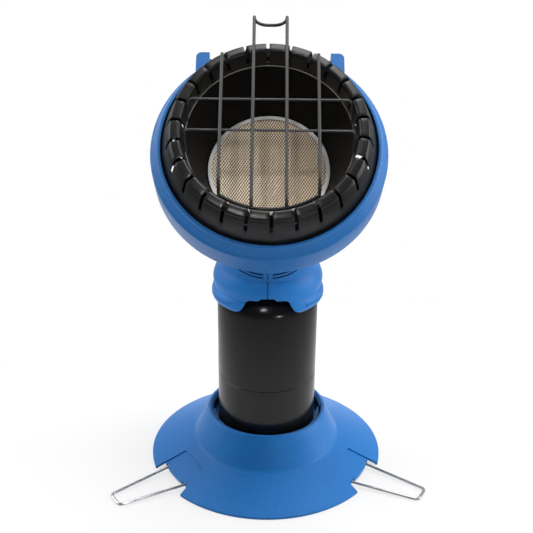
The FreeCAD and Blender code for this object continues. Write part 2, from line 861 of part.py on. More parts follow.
# Slotted rolled rim: the front edge of the reflector, rolled outwards and
# back, and cut through by slots that let the hot edge grow.
def slotted_rim():
    body = new_body("slotted_rim", in_head)
    crest = "sheet*0.8"
    revolve(body, [
        ("rim_wall_radius", "-rim_wall_end"),
        ("rim_inner", "-3"),
        ("rim_inner + 1.4", "-0.6", "rim_inner + 0.35", "-1.6"),
        ("rim_crest", crest, "rim_inner + 2.6", "0.4"),
        ("rim_kink", "-2.2", "rim_kink - 1.9", "-0.05"),
        ("rim_skirt", "-rim_skirt_depth"),
        ("rim_skirt + 1.6", "-ledge_depth"),
        ("bezel_inner + ledge_width - 0.6", "-ledge_depth"),
        ("bezel_inner + ledge_width - 0.6", "-(ledge_depth + sheet)"),
        ("rim_skirt + 0.8", "-(ledge_depth + sheet)"),
        ("rim_skirt - sheet", "-rim_skirt_depth"),
        ("rim_kink - sheet", "-3"),
        ("rim_crest", f"{crest} - sheet", "rim_kink - 2.4", "-1"),
        ("rim_inner + sheet*1.9", "-1.4", "rim_inner + 2.9", "-0.6"),
        ("rim_inner + sheet", "-3.2", "rim_inner + sheet*1.25", "-2.2"),
        ("rim_wall_radius + sheet", "-rim_wall_end"),
    ])
    slot = pocket_both_ways(body, "slot", "YZ_Plane", [
        ("rim_wall_radius - 4", "-slot_inner_depth"),
        ("rim_skirt + 4", "-slot_outer_depth"),
        ("rim_skirt + 4", "6"),
        ("rim_wall_radius - 4", "6"),
    ], "slot_width")
    around(body, slot, "slot_count")
    turn_in_head(body, "slot_turn")
    return body


def turn_in_head(item, angle):
    """Turn a round piece about the beam axis, on top of the head's tilt."""
    tilt = FreeCAD.Rotation(Vector(1, 0, 0), value("head_tilt"))
    spin = FreeCAD.Rotation(Vector(0, 0, 1), value(angle))
    item.setExpression("Placement.Rotation.Angle", None)
    item.Placement = FreeCAD.Placement(item.Placement.Base, tilt * spin)


def reflector_dish():
    slope = "(dish_mouth - dish_floor_radius)/(dish_floor_depth - dish_mouth_depth)"
    return revolved("reflector_dish", [
        ("dish_mouth", "-dish_mouth_depth"),
        ("dish_mouth + sheet", "-dish_mouth_depth"),
        (f"dish_floor_radius + sheet", "-dish_floor_depth"),
        ("dish_floor_radius + sheet", "-(dish_floor_depth + sheet)"),
        ("ring_inner + 0.4", "-(dish_floor_depth + sheet)"),
        ("ring_inner + 0.4", "-dish_floor_depth"),
        ("dish_floor_radius", "-dish_floor_depth"),
    ], in_head)


# Burner stack, from the front: ring, woven screen, ceramic tile, gasket, pan.
def disc(label, radius, thick, front):
    """A flat round plate in the head's frame, its front face at a depth."""
    item = primitive("Cylinder", label, {"Radius": radius, "Height": thick},
                     head_point("0", "0", f"-({front} + {thick})"), (1, 0, 0), "head_tilt")
    return item


def burner_ring():
    return revolved("burner_ring", [
        ("ring_inner", "-dish_floor_depth"),
        ("ring_outer", "-dish_floor_depth"),
        ("ring_outer", "-(dish_floor_depth - ring_thick + 0.5)"),
        ("ring_outer - 0.5", "-(dish_floor_depth - ring_thick)"),
        ("ring_inner", "-(dish_floor_depth - ring_thick)"),
    ], in_head)


def burner_pan():
    """A pressed pan: a flange under the dish, a wall round the tile and a floor
    with the hole that the mixer tube feeds."""
    flange = "dish_floor_depth + sheet"
    wall = "tile_radius + 0.3"
    return revolved("burner_pan", [
        ("dish_floor_radius + sheet", f"-({flange} + screen_thick)"),
        ("dish_floor_radius + sheet", f"-({flange} + screen_thick + pan_wall)"),
        (f"{wall} + pan_wall", f"-({flange} + screen_thick + pan_wall)"),
        (f"{wall} + pan_wall", "-(pan_depth - 4)"),
        (f"{wall} + pan_wall - 4", "-pan_depth", f"{wall} + pan_wall - 1.2", "-(pan_depth - 1.2)"),
        ("mixer_radius + pin_fit", "-pan_depth"),
        ("mixer_radius + pin_fit", "-(pan_depth - pan_wall)"),
        (f"{wall} - 3.4", "-(pan_depth - pan_wall)"),
        (wall, "-(pan_depth - 4.6)", f"{wall} - 1", "-(pan_depth - pan_wall - 1)"),
        (wall, f"-({flange} + screen_thick)"),
    ], in_head)


def tile_gasket():
    front = "dish_floor_depth + sheet + screen_thick + tile_thick"
    return revolved("tile_gasket", [
        ("tile_radius - 7", f"-({front})"),
        ("tile_radius - 0.2", f"-({front})"),
        ("tile_radius - 0.2", f"-({front} + gasket_thick)"),
        ("tile_radius - 7", f"-({front} + gasket_thick)"),
    ], in_head)


def mixer_tube():
    """The tube from the jet that turns forward into the pan."""
    points = spots([
        ("0", "-(jet_seat - 2)", "-mixer_depth"),
        ("0", "0", "-mixer_depth"),
        ("0", "0", "-(pan_depth - pan_wall)"),
    ])
    bends = [value("mixer_bend")]
    outer = wire_solid(points, bends, value("mixer_radius"))
    inner = wire_solid(points, bends, value("mixer_radius - mixer_wall"))
    return shape_node("mixer_tube", outer.cut(inner), in_head)


# Regulator: a die-cast body on the inlet nut, with an outlet boss that leans
# back along the face of the head, and the brass jet screwed into it.
def regulator_body():
    column = revolved("regulator_column", [
        ("0", "nut_top"),
        ("regulator_radius - 2", "nut_top"),
        ("regulator_radius", "nut_top + 2"),
        ("regulator_radius", "regulator_top - 6"),
        ("regulator_radius - 5", "regulator_top"),
        ("0", "regulator_top"),
    ])
    outlet = primitive("Cylinder", "regulator_outlet", {"Radius": "6.5", "Height": "outlet_length"})
    lay_up_face(outlet, "-mixer_depth", "-(jet_seat + outlet_length)")
    stem_boss = primitive("Cylinder", "regulator_stem_boss", {"Radius": "7", "Height": "stem_boss_end"},
                          ("0", "stem_boss_end", "knob_height - 1"), (1, 0, 0), "90")
    column = fused("regulator_solid", [column, outlet, stem_boss])
    sizes = {"Radius": "stem_radius + stem_fit", "Height": "stem_boss_end - stem_inner + 1"}
    bore = primitive("Cylinder", "stem_bore", sizes, ("0", "stem_boss_end + 1", "knob_height"), (1, 0, 0), "90")
    return cut("regulator_body", column, bore)


def lay_up_face(item, out, up):
    """Lay a cylinder so that it runs up the face of the head from a point."""
    item.Placement = FreeCAD.Placement(Vector(), FreeCAD.Rotation(Vector(1, 0, 0), value("head_tilt") - 90))
    for letter, expression in zip("xyz", head_point("0", up, out)):
        item.setExpression(f"Placement.Base.{letter}", bound(expression))


def inlet_nut():
    """The female thread that the cylinder's valve screws into."""
    bore = "thread_radius + thread_fit"
    body = revolved("inlet_nut", [
        (bore, "neck_height + 0.6"),
        ("nut_radius", "neck_height + 0.6"),
        ("nut_radius", "nut_top - 2"),
        ("nut_radius - 2", "nut_top"),
        ("2.2", "nut_top"),
        ("2.2", "valve_top + 1.8"),
        (bore, "valve_top + 1.8"),
    ])
    flute = pocket_both_ways(body, "flute", "YZ_Plane", [
        ("nut_radius - 1", "neck_height"),
        ("nut_radius + 1", "neck_height"),
        ("nut_radius + 1", "nut_top + 1"),
        ("nut_radius - 1", "nut_top + 1"),
    ], "3")
    around(body, flute, "12")
    return body


def inlet_seal():
    return revolved("inlet_seal", [
        ("7", "valve_top + 0.1"),
        ("thread_radius - 0.2", "valve_top + 0.1"),
        ("thread_radius - 0.2", "valve_top + 1.8"),
        ("7", "valve_top + 1.8"),
    ])


def jet():
    item = primitive("Cylinder", "jet", {"Radius": "jet_radius", "Height": "6"})
    lay_up_face(item, "-mixer_depth", "-jet_seat")
    item.Label = "jet"
    return item


# Knob and its stem
def control_knob():
    """A fluted knob with a pointer rib, turning on a line to the back."""
    body = new_body("control_knob")
    revolve(body, [
        ("stem_radius", "0"),
        ("knob_radius", "0"),
        ("knob_radius", "3"),
        ("knob_radius - 1.6", "4.2"),
        ("knob_radius - 2.4", "knob_length - 1.5"),
        ("knob_radius - 4", "knob_length"),
        ("0", "knob_length"),
        ("0", "knob_length - 4"),
        ("stem_radius", "knob_length - 4"),
    ])
    flute = pocket_both_ways(body, "flute", "YZ_Plane", [
        ("knob_radius - 3.1", "5.5"),
        ("knob_radius + 1", "5.5"),
        ("knob_radius + 1", "knob_length + 1"),
        ("knob_radius - 3.1", "knob_length + 1"),
    ], "2.6")
    around(body, flute, "12")
    place(body, ("0", "knob_face", "knob_height"), (1, 0, 0), "-90")
    return body


def valve_stem():
    tip = "knob_face + knob_length - 4"
    sizes = {"Radius": "stem_radius", "Height": f"{tip} - stem_inner"}
    return primitive("Cylinder", "valve_stem", sizes, ("0", tip, "knob_height"), (1, 0, 0), "90")


# Collar: two moulded halves that clamp the regulator, with a double bulge, a
# scalloped front edge over the bottle's shoulder and a top that fits the bowl.
def collar_form():
    body = new_body("collar_form")
    outer = [
        ("collar_bulge - 1.2", "collar_bottom"),
        ("collar_bulge", "collar_bottom + 5", "collar_bulge - 0.2", "collar_bottom + 2.2"),
        ("collar_pinch", "collar_bottom + 11.6", "collar_bulge - 0.7", "collar_bottom + 8.8"),
        ("collar_upper", "collar_bottom + 19"),
        ("collar_neck + 0.4", "collar_bottom + 33", "collar_upper - 1.3", "collar_bottom + 26"),
        ("collar_neck", "collar_bottom + 44"),
        ("collar_neck", "head_height - 88"),
    ]
    inner = [
        ("collar_neck - collar_wall", "head_height - 88"),
        ("collar_neck - collar_wall", "collar_bottom + 34"),
        ("collar_upper - collar_wall", "collar_bottom + 20",
         "collar_upper - collar_wall - 1.6", "collar_bottom + 27"),
        ("collar_pinch - collar_wall + 0.4", "collar_bottom + 12"),
        ("collar_bulge - collar_wall", "collar_bottom + 5"),
        ("collar_bulge - collar_wall - 0.4", "collar_bottom"),
    ]
    revolve(body, outer + inner)
    return body


def collar_halves():
    body = collar_form()
    solid = fused("collar_with_posts", [body] + collar_posts() + collar_nubs())
    bowl = revolved("head_hollow", bowl_corners("0.1") + [
        ("shell_radius + 0.1", "-shell_rear"),
        ("shell_radius + 0.1", "-shell_front"),
        ("0", "-shell_front"),
    ], in_head)
    seated = cut("collar_seated", solid, bowl)
    tools = [scallop_cutter(), stem_hole(), post_relief(), collar_grooves(), collar_lip()] + screw_access()
    opened = cut("collar_opened", seated, fused("collar_tools", tools))
    drilled = cut("collar_drilled", opened, collar_screws())
    left = common("collar_left_half", drilled, half_block("left", "-block_reach"))
    right = common("collar_right_half", drilled, half_block("right", "collar_gap"))
    pin = front_pin("front_pin", "pin_radius", "-2")
    socket = front_pin("front_pin_socket", "pin_radius + pin_fit", "-1")
    return fused("collar_left", [left, pin]), cut("collar_right", right, socket)


def half_block(name, start):
    """The space that one half of the collar takes up."""
    sizes = {"Length": "block_reach - collar_gap", "Width": "2*block_reach", "Height": "2*block_reach"}
    return primitive("Box", f"half_block_{name}", sizes, (start, "-block_reach", "collar_bottom - 10"))


POSTS = {
    "front": ("-(collar_neck - collar_wall - 2.4)", "collar_bottom + 35"),
    "rear_low": ("collar_upper - collar_wall - 3.4", "collar_bottom + 21"),
    "rear_high": ("collar_neck - collar_wall - 2", "collar_bottom + 64"),
}
SCREWED = ("rear_low", "rear_high")


def across_joint(name, radius, start, length, post):
    """A cylinder along X on the axis of one of the posts."""
    back, height = POSTS[post]
    return primitive("Cylinder", name, {"Radius": radius, "Height": length}, (start, back, height), (0, 1, 0), "90")


def collar_posts():
    """Bosses across the joint line: two take screws, the front one a pin."""
    return [across_joint(f"post_{name}", "post_radius", "-post_half", "2*post_half", name) for name in POSTS]


def front_pin(name, radius, start):
    """The pin that lines the halves up, or the hole it goes into."""
    return across_joint(name, radius, start, "post_half - 1 - pin_radius", "front")


def post_relief():
    """Keeps the posts inside the collar's outer line."""
    return revolved("post_relief", [
        ("collar_neck + 0.02", "collar_bottom + 45"),
        ("collar_neck + 12", "collar_bottom + 45"),
        ("collar_neck + 12", "head_height - 80"),
        ("collar_neck + 0.02", "head_height - 80"),
    ])


def collar_screws():
    """A head and a shank in each of the two rear posts."""
    pieces = []
    for name in SCREWED:
        head = across_joint(f"collar_screw_head_{name}", "screw_head", "-post_half", "2", name)
        shank = across_joint(f"collar_screw_shank_{name}", "screw_shank", "-post_half + 1", "2*post_half - 3", name)
        pieces.append(fused(f"collar_screw_{name}", [head, shank]))
    return fused("collar_screws", pieces)


def screw_access():
    """Holes in the left half's wall, through which the screws are driven."""
    return [across_joint(f"screw_access_{name}", "screw_head + 0.2", "-block_reach", "block_reach - post_half", name)
            for name in SCREWED]


def collar_grooves():
    """Two slanted grooves on each side of the joint, under the head."""
    slabs = []
    for row, height, thick in (("upper", "groove_upper", "1"), ("lower", "groove_lower", "0.7")):
        for side, start in (("left", "-groove_far"), ("right", "groove_near")):
            sizes = {"Length": "groove_far - groove_near", "Width": "block_reach", "Height": thick}
            at = (start, "-collar_neck - 10*cos(groove_tilt)", f"{height} - 10*sin(groove_tilt)")
            slabs.append(primitive("Box", f"groove_{row}_{side}", sizes, at, (1, 0, 0), "groove_tilt"))
    sizes = {"Radius": "collar_neck - groove_depth", "Height": "2*block_reach"}
    core = primitive("Cylinder", "groove_core", sizes, ("0", "0", "collar_bottom - 20"))
    return cut("collar_grooves", fused("groove_slabs", slabs), core)


def collar_lip():
    """The groove along the lower bulge, which stops at a nub on each side."""
    ring = revolved("lip_ring", [
        ("collar_bulge - groove_depth", "lip_height - 0.5"),
        ("collar_bulge + 1", "lip_height - 0.5"),
        ("collar_bulge + 1", "lip_height + 0.5"),
        ("collar_bulge - groove_depth", "lip_height + 0.5"),
    ])
    sizes = {"Length": "2*lip_end", "Width": "block_reach", "Height": "8"}
    front = primitive("Box", "lip_front", sizes, ("-lip_end", "-block_reach", "lip_height - 4"))
    return cut("collar_lip", ring, front)


def collar_nubs():
    """Round nubs on the bulge, one at each front end of the lip's groove."""
    nubs = []
    for side, sign in (("left", "-"), ("right", "")):
        depth = "sqrt(collar_bulge^2 - lip_end^2)"
        nubs.append(primitive("Sphere", f"nub_{side}", {"Radius": "2"},
                              (f"{sign}(lip_end - 0.6)", f"-({depth}) + 0.7", "lip_height")))
    return nubs


def scallop_cutter():
    """The stepped scallop in the front lower edge, cut straight back."""
    body = new_body("scallop")
    right = [
        ("scallop_half", "collar_bottom - 2"),
        ("scallop_half", "collar_bottom"),
        ("scallop_half - 9", "collar_bottom + 5.2", "scallop_half - 5.2", "collar_bottom + 1.4"),
        ("scallop_half - 12.6", "scallop_height - 4.6"),
        ("scallop_half - 18.2", "scallop_height - 1.4", "scallop_half - 14.9", "scallop_height - 2.3"),
        ("8.6", "scallop_height - 1"),
        ("6", "scallop_height + 1.6"),
    ]
    sketch = outline(body, "scallop_outline", "XZ_Plane", right + mirrored(right))
    item = feature(body, "Pad", "scallop_block", sketch)
    bind(item, Length="block_reach")
    return body


def stem_hole():
    return primitive("Cylinder", "stem_hole", {"Radius": "stem_radius + 1", "Height": "block_reach"},
                     ("0", "block_reach", "knob_height"), (1, 0, 0), "90")


# Carrying bail
def carry_bail():
    """A wire loop whose ends turn out into the two lugs."""
    depth = "-(lug_front + lug_thick/2)"
    low_up = "bail_height + bail_reach*sin(bail_drop_angle)"
    low_out = f"{depth} + bail_reach*cos(bail_drop_angle)"
    stub = "lug_outer - 2"
    points = spots([
        (f"-({stub})", "bail_height", depth),
        ("-bail_half", "bail_height", depth),
        ("-bail_half", low_up, low_out),
        ("bail_half", low_up, low_out),
        ("bail_half", "bail_height", depth),
        (stub, "bail_height", depth),
    ])
    corner, grip = value("bail_bend/2"), value("bail_bend")
    shape = wire_solid(points, [corner, grip, grip, corner], value("bail_wire"))
    return shape_node("carry_bail", shape, in_head)


# Wire guard: two pairs of upright wires and two cross wires, whose ends bend
# back to the rim's inner wall. The middle pair runs up into a hook.
def guard_wall_radius(wire):
    """Where a wire's centre line lies when it touches the rim's inner wall."""
    fall = "(rim_inner - rim_wall_radius)/(rim_wall_end - 3)"
    return f"(rim_inner - (guard_end_depth - 3)*{fall} - {wire} - 0.15)"


def guard_front():
    return "(sheet*0.8 + guard_wire + guard_stand_off)"


def guard_hook_wire():
    front = guard_front()
    seat = guard_wall_radius("guard_wire")
    end_up = f"-sqrt({seat}^2 - guard_inner_x^2)"
    right = [
        ("guard_inner_x", end_up, "-guard_end_depth"),
        ("guard_inner_x", "-guard_inner_bend", front),
        ("guard_inner_x", "hook_height", front),
        ("guard_inner_x", "hook_height + 1", f"{front} - hook_reach"),
    ]
    left = [(f"-{across}", up, out) for across, up, out in reversed(right)]
    foot, top, tip = value("guard_bend"), value("hook_bend"), value("hook_tip_bend")
    shape = wire_solid(spots(right + left), [foot, top, tip, tip, top, foot], value("guard_wire"))
    return shape_node("guard_hook_wire", shape, in_head)


def guard_side_wires():
    front = guard_front()
    seat = guard_wall_radius("guard_wire")
    end_up = f"-sqrt({seat}^2 - guard_outer_x^2)"
    wires = []
    for sign in ("", "-"):
        across = f"{sign}guard_outer_x"
        points = spots([
            (across, end_up, "-guard_end_depth"),
            (across, "-guard_outer_bend", front),
            (across, "guard_outer_top", front),
        ])
        wires.append(wire_solid(points, [value("guard_bend")], value("guard_wire")))
    return shape_node("guard_side_wires", Part.makeCompound(wires), in_head)


def guard_cross_wires():
    front = f"({guard_front()} - guard_wire - guard_cross_wire - 0.05)"
    seat = guard_wall_radius("guard_cross_wire")
    wires = []
    for height, half in (("guard_bar_upper", "guard_bar_upper_half"), ("-guard_bar_lower", "guard_bar_lower_half")):
        end_up = f"{height} - guard_bar_drop"
        end_across = f"sqrt({seat}^2 - ({end_up})^2)"
        right = [
            (end_across, end_up, "-guard_end_depth"),
            (half, height, front),
        ]
        left = [(f"-{across}", up, out) for across, up, out in reversed(right)]
        bend = value("guard_bend")
        wires.append(wire_solid(spots(right + left), [bend, bend], value("guard_cross_wire")))
    return shape_node("guard_cross_wires", Part.makeCompound(wires), in_head)


keep(base_skirt())
keep(cylinder_socket())
keep(leg_clips())
for leg_name, leg_azimuth in LEGS.items():
    keep(leg(leg_name, leg_azimuth))
keep(cylinder_shell())
keep(cylinder_foot())
keep(cylinder_valve())
keep(valve_core())
keep(relief_valve())
keep(shell_bezel())
keep(rear_shell())
keep(slotted_rim())
keep(reflector_dish())
keep(burner_ring())
keep(disc("burner_screen", "ring_outer - 1", "screen_thick", "dish_floor_depth + sheet"))
keep(disc("burner_tile", "tile_radius", "tile_thick", "dish_floor_depth + sheet + screen_thick"))
keep(tile_gasket())
keep(burner_pan())
keep(mixer_tube())
keep(jet())
keep(regulator_body())
keep(inlet_nut())
keep(inlet_seal())
keep(control_knob())
keep(valve_stem())
for half in collar_halves():
    keep(half)
keep(doc.getObject("collar_screws"))
keep(carry_bail())
keep(guard_hook_wire())
keep(guard_side_wires())
keep(guard_cross_wires())

doc.recompute()
for item in doc.Objects:
    if "Invalid" in item.State or "Error" in item.State:
        raise RuntimeError(f"{item.Label} failed: {item.State}")
for item in nodes:
    if item.Shape.isNull() or not item.Shape.isValid():
        raise RuntimeError(f"{item.Label} has no valid shape")
os.makedirs("parts", exist_ok=True)
for item in nodes:
    item.Shape.exportStep(f"parts/{item.Label}.step")
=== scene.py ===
import bmesh
import bpy
import math
from mathutils import Matrix, Quaternion, Vector


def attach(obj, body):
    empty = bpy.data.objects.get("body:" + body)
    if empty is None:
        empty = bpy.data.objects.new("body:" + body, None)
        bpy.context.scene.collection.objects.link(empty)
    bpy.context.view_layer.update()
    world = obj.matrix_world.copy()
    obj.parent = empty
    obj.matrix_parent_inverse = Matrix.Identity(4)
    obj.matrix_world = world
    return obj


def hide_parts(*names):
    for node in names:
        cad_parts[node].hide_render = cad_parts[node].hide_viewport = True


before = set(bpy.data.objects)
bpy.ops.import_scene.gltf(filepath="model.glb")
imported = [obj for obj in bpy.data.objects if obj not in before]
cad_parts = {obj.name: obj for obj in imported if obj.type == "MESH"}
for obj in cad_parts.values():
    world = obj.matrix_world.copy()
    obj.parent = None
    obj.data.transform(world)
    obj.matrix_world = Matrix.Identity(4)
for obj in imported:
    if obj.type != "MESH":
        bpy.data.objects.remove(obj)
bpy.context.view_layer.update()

# Studio: a camera above and in front of the heater, which stands on a flat white table in a
# white room. Two tall soft boxes light it from the sides and one from above; a small lamp low on
# the right shines on the bottle's shoulder, and a narrow one into the head.
MM = 0.001
IMAGE_SIDE = 533
SENSOR_WIDTH = 36
CAMERA_FOCAL_PIXELS = 938.5
CAMERA_AT = Vector((-1.4, -833.7, 578.5)) * MM
CAMERA_AIM = Vector((-1.4, 0, 209.4)) * MM
CAMERA_ROLL = math.radians(0.63)
TABLE_WHITE = 0.78

lens = bpy.data.cameras.new("camera")
lens.sensor_width = SENSOR_WIDTH
lens.lens = CAMERA_FOCAL_PIXELS * SENSOR_WIDTH / IMAGE_SIDE
camera = bpy.data.objects.new("camera", lens)
bpy.context.scene.collection.objects.link(camera)
camera.location = CAMERA_AT
camera.rotation_mode = "QUATERNION"
facing = (CAMERA_AIM - CAMERA_AT).to_track_quat("-Z", "Y")
camera.rotation_quaternion = facing @ Quaternion((0, 0, 1), CAMERA_ROLL)
bpy.context.scene.camera = camera
bpy.context.scene.view_settings.view_transform = "Standard"


def soft_box(name, at, aim, width, height, power, spread=180):
    """A rectangular lamp: places and sizes in metres, power in watts, spread in degrees."""
    light = bpy.data.lights.new(name, "AREA")
    light.shape = "RECTANGLE"
    light.size = width
    light.size_y = height
    light.energy = power
    light.spread = math.radians(spread)
    lamp = bpy.data.objects.new(name, light)
    bpy.context.scene.collection.objects.link(lamp)
    lamp.location = at
    lamp.rotation_euler = (Vector(aim) - Vector(at)).to_track_quat("-Z", "Y").to_euler()


soft_box("left_box", (-1.35, 0.25, 1.0), (0, 0, 0.2), 0.8, 1.3, 15)
soft_box("right_box", (1.45, 0.0, 0.7), (0, 0, 0.2), 0.8, 1.5, 20)
soft_box("top_box", (0.20, 0.20, 1.8), (0, 0, 0.25), 0.9, 0.9, 20)
soft_box("low_box", (0.56, -1.18, 0.30), (0, 0, 0.2), 0.14, 0.07, 1.8)
soft_box("head_box", (-0.16, -0.90, 1.22), (0, -0.035, 0.357), 0.22, 0.22, 0.066, 9)


class Signal:
    """One output in a material's nodes; arithmetic on it adds Math nodes."""

    def __init__(self, nodes, socket):
        self.nodes = nodes
        self.socket = socket

    def maths(self, operation, *others):
        return self.nodes.node("Math", {"operation": operation}, dict(enumerate((self, *others))))

    def __add__(self, other):
        return self.maths("ADD", other)

    def __sub__(self, other):
        return self.maths("SUBTRACT", other)

    def __mul__(self, other):
        return self.maths("MULTIPLY", other)

    def __rsub__(self, other):
        return self.nodes.node("Math", {"operation": "SUBTRACT"}, {0: other, 1: self})

    __radd__ = __add__
    __rmul__ = __mul__


class Nodes:
    """The nodes of one material or of the world."""

    def __init__(self, tree):
        self.tree = tree
        tree.nodes.clear()

    def node(self, kind, settings=None, inputs=None, output=0):
        """Add a node, with its settings made before its sockets get values or links."""
        node = self.tree.nodes.new("ShaderNode" + kind)
        for name, setting in (settings or {}).items():
            if name == "stops":
                self.set_stops(node.color_ramp, setting)
            else:
                setattr(node, name, setting)
        for name, value in (inputs or {}).items():
            if isinstance(value, Signal):
                self.tree.links.new(value.socket, node.inputs[name])
            else:
                node.inputs[name].default_value = value
        return Signal(self, node.outputs[output]) if node.outputs else None

    def set_stops(self, ramp, stops):
        while len(ramp.elements) < len(stops):
            ramp.elements.new(1)
        for element, (position, grey) in zip(ramp.elements, stops):
            element.position = position
            element.color = (grey, grey, grey, 1)

    def along(self, vector, axis):
        """A vector's measure along one axis."""
        return self.node("SeparateXYZ", {}, {"Vector": vector}, axis)

    def slope(self, value, start, stop, low, high):
        """Low up to the start, then rising evenly to high at the stop."""
        sockets = {"Value": value, "From Min": start, "From Max": stop,
                   "To Min": low, "To Max": high}
        return self.node("MapRange", {}, sockets)

    def mix(self, factor, first, second):
        """A mix of two colours: a Mix node takes them in sockets 6 and 7 and gives output 2."""
        sockets = {"Factor": factor}
        for place, colour in ((6, first), (7, second)):
            sockets[place] = (*colour, 1) if isinstance(colour, tuple) else colour
        return self.node("Mix", {"data_type": "RGBA"}, sockets, 2)


class Finish(Nodes):
    """A material for the pieces, built node by node on Object coordinates."""

    def __init__(self, name):
        self.material = bpy.data.materials.new(name)
        self.material.use_nodes = True
        super().__init__(self.material.node_tree)

    def place(self):
        return self.node("TexCoord", output="Object")

    def noise(self, scale, detail, roughness, at=None):
        sockets = {"Vector": at or self.place(), "Scale": scale, "Detail": detail,
                   "Roughness": roughness}
        return self.node("TexNoise", {}, sockets)

    def ramp(self, signal, *stops):
        return self.node("ValToRGB", {"stops": stops}, {"Fac": signal})

    def bump(self, height, depth, strength):
        sockets = {"Height": height, "Distance": depth, "Strength": strength}
        return self.node("Bump", {}, sockets)

    def surface(self, **sockets):
        named = {name.replace("_", " "): value for name, value in sockets.items()}
        if isinstance(named["Base Color"], tuple):
            named["Base Color"] = (*named["Base Color"], 1)
        shader = self.node("BsdfPrincipled", {}, named)
        self.node("OutputMaterial", {}, {"Surface": shader})
        return self.material


def table_finish():
    """White table that keeps the shadow near the heater and is mirrored darker far from it."""
    finish = Finish("pale_floor")
    away = finish.node("VectorMath", {"operation": "LENGTH"}, {0: finish.place()}, "Value")
    faded = finish.slope(away, 0.13, 0.36, 0.66, 1.0)
    edge = finish.slope(away, 0.20, 0.46, 0.0, 0.72)
    seen = finish.node("LightPath", output="Is Camera Ray")
    mirrored = finish.node("LightPath", output="Is Glossy Ray")
    lit = finish.node("BsdfDiffuse", {}, {"Color": (TABLE_WHITE, TABLE_WHITE, TABLE_WHITE, 1)})
    glow = finish.mix(mirrored * edge, (1.0, 1.0, 1.0), (0.0, 0.0, 0.0))
    white = finish.node("Emission", {}, {"Color": glow, "Strength": 1.0})
    share = (faded * seen).maths("MAXIMUM", mirrored)
    mixed = finish.node("MixShader", {}, {0: share, 1: lit, 2: white})
    finish.node("OutputMaterial", {}, {"Surface": mixed})
    return finish.material


form = bmesh.new()
bmesh.ops.create_grid(form, x_segments=1, y_segments=1, size=6)
mesh = bpy.data.meshes.new("floor")
form.to_mesh(mesh)
form.free()
floor = bpy.data.objects.new("floor", mesh)
bpy.context.scene.collection.objects.link(floor)
mesh.materials.append(table_finish())

world = bpy.data.worlds.new("studio_white")
bpy.context.scene.world = world
world.use_nodes = True
room = Nodes(world.node_tree)
backwards = room.along(room.node("TexCoord", output="Generated"), "Y")
backdrop = room.slope(backwards, -0.35, 0.5, 0.08, 0.8)
strength = backdrop.maths("MAXIMUM", room.node("LightPath", output="Is Camera Ray"))
plain_white = room.node("Background", {}, {"Color": (1, 1, 1, 1), "Strength": strength})
room.node("OutputWorld", {}, {"Surface": plain_white})


# Blue mouldings: the wide base with its socket and the legs' clips, the head's two shells and
# the two collar halves round the neck. Injection-moulded nylon with a fine spark-eroded grain;
# the collar halves are screwed together. The shells' inner faces are painted near-black as shade,
# and the shells' blue is darkened as painted shade.
BLUE = (0.004, 0.116, 0.385)
BLUE_PALE = (0.010, 0.188, 0.555)
HEAD = Matrix.Translation(Vector((0, -35, 357)) * MM) @ Matrix.Rotation(math.radians(45), 4, "X")
SHADED_INSIDE_RADIUS = 107.0
SHADED_WALL_TOP = -29.5
SHADED_BOWL_TOP = -70.0
LEDGE_RADIUS = 104.0
LEDGE_TOP = -36.0
LEDGE_FOOT = -45.0
GROOVE_MIDDLE = 17.7
GROOVE_LENGTH = 26.6
GROOVE_REACH = 1.6
GROOVE_FRONT = 47.5
GROOVE_SLANT = math.radians(30)
GROOVES = ((221.2, 0.5), (218.2, 0.35))


def blue_moulding(name, seed, joint_and_groove_shade=None, shade=1.0, haze=0.38):
    finish = Finish(name)
    spot = finish.node("Mapping", {}, {"Vector": finish.place(), "Location": (seed, seed, seed)})
    cloud = finish.noise(26, 3, 0.55, spot)
    grain = finish.noise(1100, 2, 0.7, spot)
    pits = finish.noise(560, 3, 0.6, spot)
    speckle = finish.ramp(finish.noise(720, 3, 0.8, spot), (0.36, 0), (0.64, 1))
    # A shade below 1 darkens the blue as painted shade.
    dark, light = (tuple(part * shade for part in blue) for blue in (BLUE, BLUE_PALE))
    colour = finish.mix(cloud * 0.35 + speckle * 0.65, dark, light)
    if joint_and_groove_shade:
        colour = joint_and_groove_shade(finish, colour)
    rough = 0.38 + cloud * 0.06 + grain * 0.16
    return finish.surface(Base_Color=colour, Roughness=rough, Specular_IOR_Level=0.26,
                          Sheen_Weight=haze, Sheen_Roughness=0.3,
                          Normal=finish.bump(grain * 0.6 + pits * 0.4, 0.00028, 0.8))


def add_piece(name, form, finish, body, node=None):
    """Turn a bmesh into a piece that rides on a body and stands for a node."""
    mesh = bpy.data.meshes.new(name)
    form.to_mesh(mesh)
    form.free()
    mesh.materials.append(finish)
    piece = bpy.data.objects.new(name, mesh)
    bpy.context.scene.collection.objects.link(piece)
    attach(piece, body)
    if node:
        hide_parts(node)
    return piece


def smooth_under(form, degrees):
    """Shade smooth, with an edge left sharp where its faces meet at more than the angle."""
    limit = math.radians(degrees)
    for face in form.faces:
        face.smooth = True
    for edge in form.edges:
        edge.smooth = len(edge.link_faces) == 2 and edge.calc_face_angle() < limit


def finished_node(node, finish, body):
    """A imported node's shape with its loose triangles joined, smoothed and finished."""
    form = bmesh.new()
    form.from_mesh(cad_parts[node].data)
    bmesh.ops.remove_doubles(form, verts=form.verts, dist=0.002 * MM)
    bmesh.ops.dissolve_degenerate(form, edges=form.edges, dist=0.001 * MM)
    smooth_under(form, 32)
    return add_piece(node + "_piece", form, finish, body, node)


def inside_shade_finish():
    """The inside of the head's shells, painted near-black as shade."""
    finish = Finish("painted_shade_inside")
    shade_noise = finish.noise(60, 4, 0.6)
    colour = finish.mix(shade_noise, (0.004, 0.005, 0.008), (0.009, 0.011, 0.018))
    return finish.surface(Base_Color=colour, Roughness=0.7, Specular_IOR_Level=0.2)


